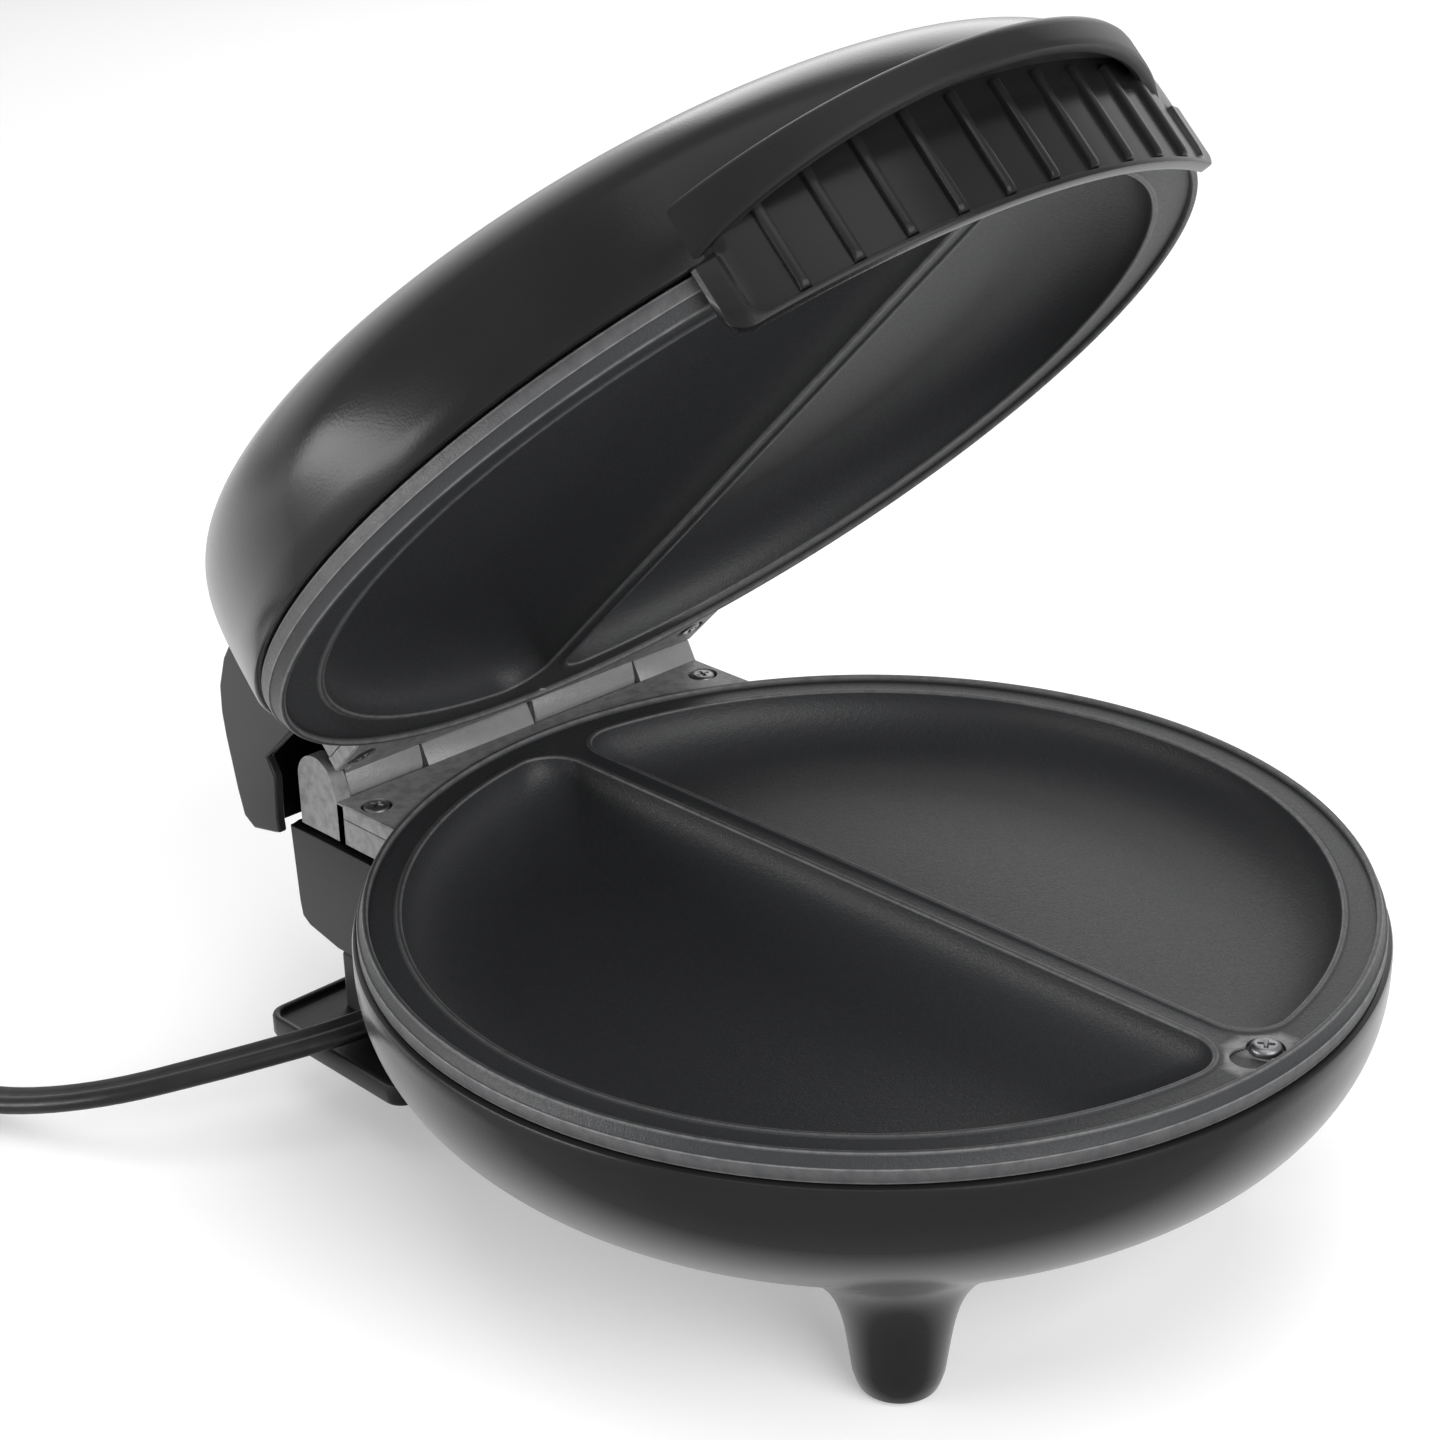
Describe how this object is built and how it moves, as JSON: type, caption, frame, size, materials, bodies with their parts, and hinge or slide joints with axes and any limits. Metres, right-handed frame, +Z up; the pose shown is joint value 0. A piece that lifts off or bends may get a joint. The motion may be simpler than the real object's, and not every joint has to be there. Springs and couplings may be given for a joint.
{
  "type": "electric omelette maker",
  "caption": "Round electric omelette maker: a bowl-shaped base and a domed lid hinged at the back, each with half-round non-stick pockets, standing open, with a coiled mains cord.",
  "frame": {"origin": "on the surface the object stands on, below the middle of the object without its cord, 17.64 mm behind the lower plate's centre", "axes": "+Z up, +Y towards the hinge at the back, -Y the front, where the handle is"},
  "size_m": [0.3221, 0.3333, 0.2319],
  "materials": {
    "housing": "satin black moulded",
    "stand": "matte black moulded",
    "handle": "smooth matte black, ribs glossier",
    "pads": "matte",
    "coated_plate": "dark grey non-stick coating with a fine grain",
    "screw": "dark plated",
    "element": "heat-darkened sheath",
    "shield": "bright rolled sheet",
    "sensor": "satin",
    "fuse": "satin",
    "terminal": "off-white moulded",
    "wire": "woven glass sleeve",
    "pin": "satin",
    "lens_red": "clear tinted",
    "lamp": "glossy",
    "holder": "matte",
    "cord": "satin black sheath",
    "tie": "white",
    "plug": "satin black",
    "blade": "plated"
  },
  "bodies": {
    "base": {"base_housing": "housing", "rear_stand": "stand", "foot_pads": "pads", "stand_screws": "screw", "lower_plate": "coated_plate", "lower_plate_screws": "screw", "lower_element": "element", "lower_heat_shield": "shield", "lower_shield_screws": "screw", "thermostat": "sensor", "thermal_fuse": "fuse", "sensor_clips": "sensor", "terminal_block": "terminal", "base_wiring": "wire", "cord_grip": "cord", "hinge_pin": "pin", "cord": "cord", "cord_coil": "cord", "cord_tie": "tie", "plug_body": "plug", "plug_blades": "blade"},
    "lid": {"upper_plate": "coated_plate", "upper_plate_screws": "screw", "upper_element": "element", "upper_heat_shield": "shield", "upper_shield_screws": "screw", "lid_housing": "housing", "handle": "handle", "handle_screws": "screw", "indicator_lenses": "lens_red", "indicator_lamps": "lamp", "lamp_holder": "holder", "lid_wiring": "wire"}
  },
  "joints": [
    {"name": "lid_hinge", "type": "hinge", "parent": "base", "child": "lid", "pos_m": [0, 0.08736, 0.0668], "axis": [-1, 0, 0], "range_deg": [-45, 20]}
  ]
}
